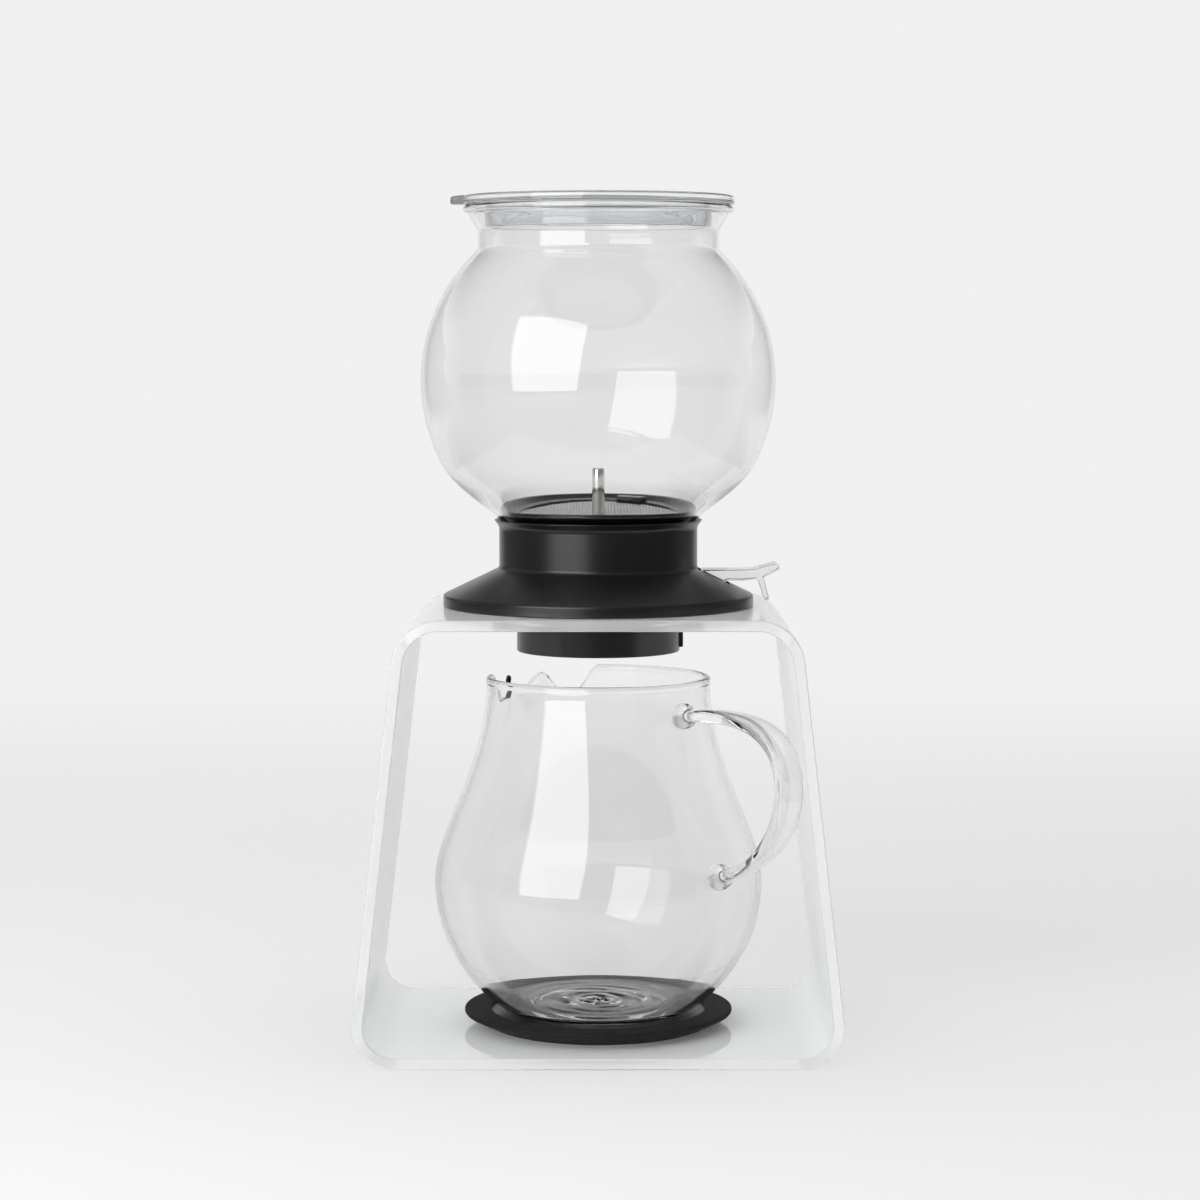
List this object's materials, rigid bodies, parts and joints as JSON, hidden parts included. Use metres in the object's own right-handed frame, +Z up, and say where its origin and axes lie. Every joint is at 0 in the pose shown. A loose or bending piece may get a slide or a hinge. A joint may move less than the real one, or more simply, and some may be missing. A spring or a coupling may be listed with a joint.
{
  "type": "tea dripper with stand and jug",
  "caption": "Steep-and-release tea dripper: a globe-shaped glass bowl with a lid on a black lever-valve base, carried by a clear bent stand over a pear-shaped glass jug on a round mat.",
  "frame": {"origin": "on the floor, below the middle of the stand and on the axis of the bowl, the outlet and the jug", "axes": "+Z up along the common axis, +X towards the valve lever, -Y towards the front, the open side of the stand"},
  "size_m": [0.165, 0.1296, 0.2932],
  "materials": {
    "stand_resin": "clear bent resin sheet, polished, slightly milky",
    "glass_clear": "clear blown heat-proof glass",
    "plastic_clear": "clear moulded plastic with a faint blue tint",
    "plastic_black": "black moulded plastic, satin",
    "silicone_black": "black silicone, matt",
    "silicone_pale": "translucent white silicone",
    "steel": "turned stainless steel",
    "steel_mesh": "woven stainless steel mesh"
  },
  "bodies": {
    "stand": {"stand_frame": "stand_resin"},
    "mat": {"jug_mat": "silicone_black"},
    "jug": {"jug_body": "glass_clear", "jug_handle": "glass_clear"},
    "dripper": {"base_housing": "plastic_black", "base_cover": "plastic_black", "cover_screws": "steel", "outlet_tube": "plastic_black", "bowl_gasket": "silicone_black", "funnel": "plastic_black", "valve_seat": "silicone_pale", "lever_pin": "steel", "valve_spring": "steel"},
    "lever": {"lever": "plastic_clear"},
    "valve": {"valve_plug": "silicone_pale", "valve_stem": "steel", "stem_washer": "steel", "stem_clip": "steel"},
    "bowl": {"bowl": "glass_clear"},
    "strainer": {"strainer_frame": "plastic_black", "strainer_mesh": "steel_mesh", "strainer_pin": "steel", "pin_nut": "steel"},
    "lid": {"lid": "plastic_clear"}
  },
  "joints": [
    {"name": "mat_lift", "type": "slide", "parent": "stand", "child": "mat", "axis": [0, 0, 1], "range_m": [0, 0.004]},
    {"name": "jug_lift", "type": "slide", "parent": "mat", "child": "jug", "axis": [0, 0, 1], "range_m": [0, 0.004]},
    {"name": "dripper_lift", "type": "slide", "parent": "stand", "child": "dripper", "axis": [0, 0, 1], "range_m": [0, 0.06]},
    {"name": "lever_press", "type": "hinge", "parent": "dripper", "child": "lever", "pos_m": [0.033, 0, 0.15855], "axis": [0, 1, 0], "range_deg": [0, 4.4], "stiffness_Nm_per_rad": 0.5},
    {"name": "valve_lift", "type": "slide", "parent": "dripper", "child": "valve", "axis": [0, 0, 1], "range_m": [0, 0.0029], "deforming": ["valve_spring"]},
    {"name": "bowl_lift", "type": "slide", "parent": "dripper", "child": "bowl", "axis": [0, 0, 1], "range_m": [0, 0.04]},
    {"name": "strainer_lift", "type": "slide", "parent": "bowl", "child": "strainer", "axis": [0, 0, 1], "range_m": [0, 0.08]},
    {"name": "lid_lift", "type": "slide", "parent": "bowl", "child": "lid", "axis": [0, 0, 1], "range_m": [0, 0.06]}
  ],
  "couplings": [
    {"joint": "valve_lift", "follows": "lever_press", "m_per_rad": 0.0375}
  ]
}
